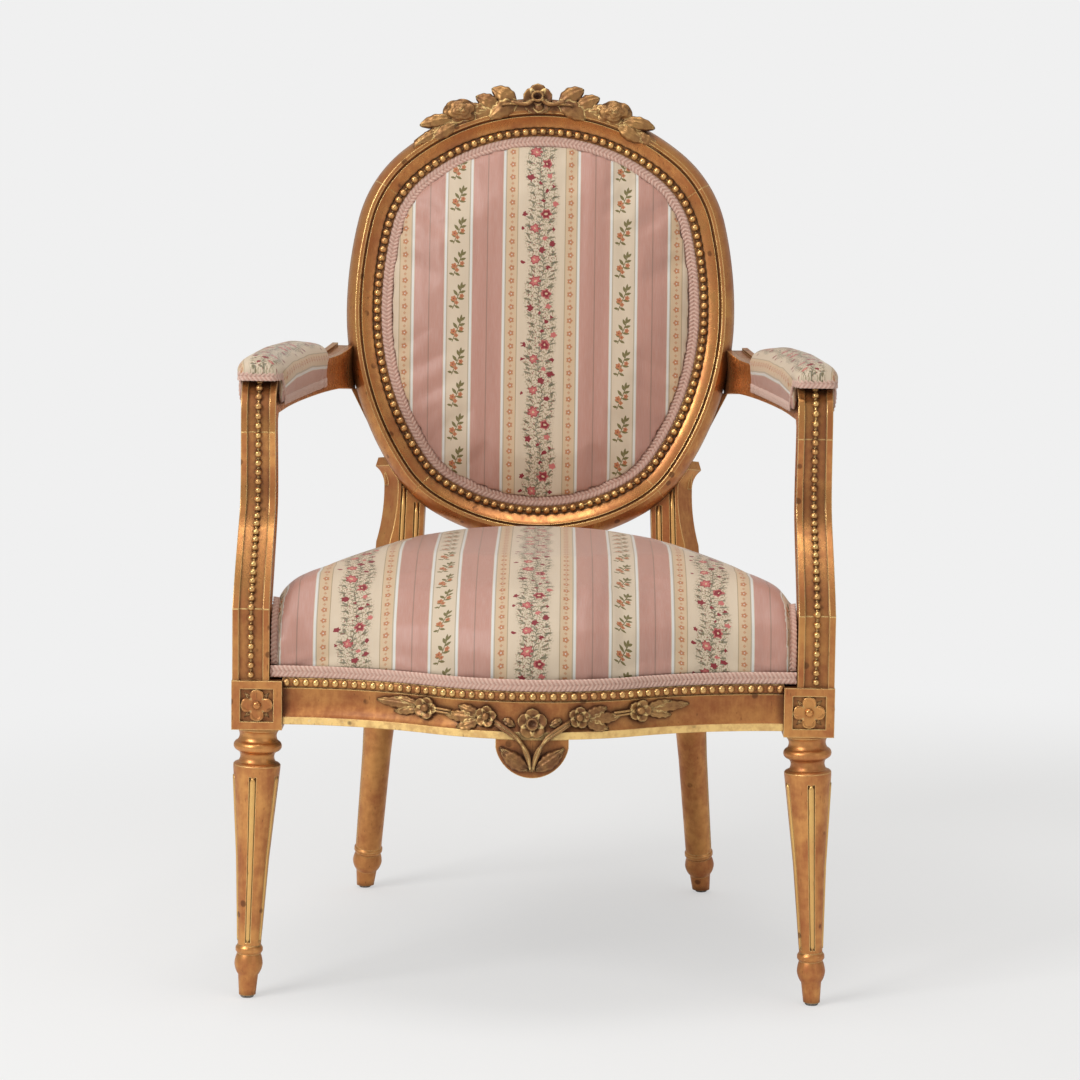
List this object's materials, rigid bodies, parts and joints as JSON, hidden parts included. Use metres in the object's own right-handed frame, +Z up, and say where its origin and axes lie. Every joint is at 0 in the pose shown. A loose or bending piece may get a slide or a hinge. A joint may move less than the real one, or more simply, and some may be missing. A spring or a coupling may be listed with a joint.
{
  "type": "upholstered armchair",
  "caption": "Gilded wood armchair with a raked oval back, open arms with pads, turned fluted legs, and striped floral upholstery on a bowed seat.",
  "frame": {"origin": "on the floor, under the middle of the whole chair's width and depth", "axes": "+Z up, -Y towards the front of the chair, +X to the right for someone looking at its front"},
  "size_m": [0.629, 0.6567, 0.9552],
  "materials": {
    "gilt_wood": "worn water gilding over reddish ground",
    "beech": "bare planed beech",
    "striped_cloth": "silky striped cloth with small woven flowers",
    "braid": "pink woven braid",
    "backing_cloth": "plain pink cloth",
    "webbing": "jute webbing",
    "hessian": "coarse hessian",
    "stuffing": "curled hair",
    "dust_cloth": "black cotton",
    "steel": "dull"
  },
  "bodies": {
    "root": {"arm_dowels": "beech", "arm_left": "gilt_wood", "arm_pad_gimp_left": "braid", "arm_pad_gimp_right": "braid", "arm_pad_left": "striped_cloth", "arm_pad_right": "striped_cloth", "arm_right": "gilt_wood", "arm_support_left": "gilt_wood", "arm_support_right": "gilt_wood", "back_cover": "striped_cloth", "back_frame_bottom": "gilt_wood", "back_frame_dowels": "beech", "back_frame_side_left": "gilt_wood", "back_frame_side_right": "gilt_wood", "back_frame_top": "gilt_wood", "back_gimp": "braid", "back_outside_cover": "backing_cloth", "back_outside_gimp": "braid", "back_stuffing": "stuffing", "back_webbing": "webbing", "corner_block_front_left": "beech", "corner_block_front_right": "beech", "corner_block_rear_left": "beech", "corner_block_rear_right": "beech", "crest_carving": "gilt_wood", "dust_cover": "dust_cloth", "foot_glides": "steel", "front_leg_left": "gilt_wood", "front_leg_right": "gilt_wood", "front_rail": "gilt_wood", "lap_screws": "steel", "rear_leg_left": "gilt_wood", "rear_leg_right": "gilt_wood", "rear_rail": "beech", "seat_cover": "striped_cloth", "seat_gimp": "braid", "seat_hessian": "hessian", "seat_stuffing": "stuffing", "seat_webbing": "webbing", "side_rail_left": "gilt_wood", "side_rail_right": "gilt_wood"}
  },
  "joints": []
}
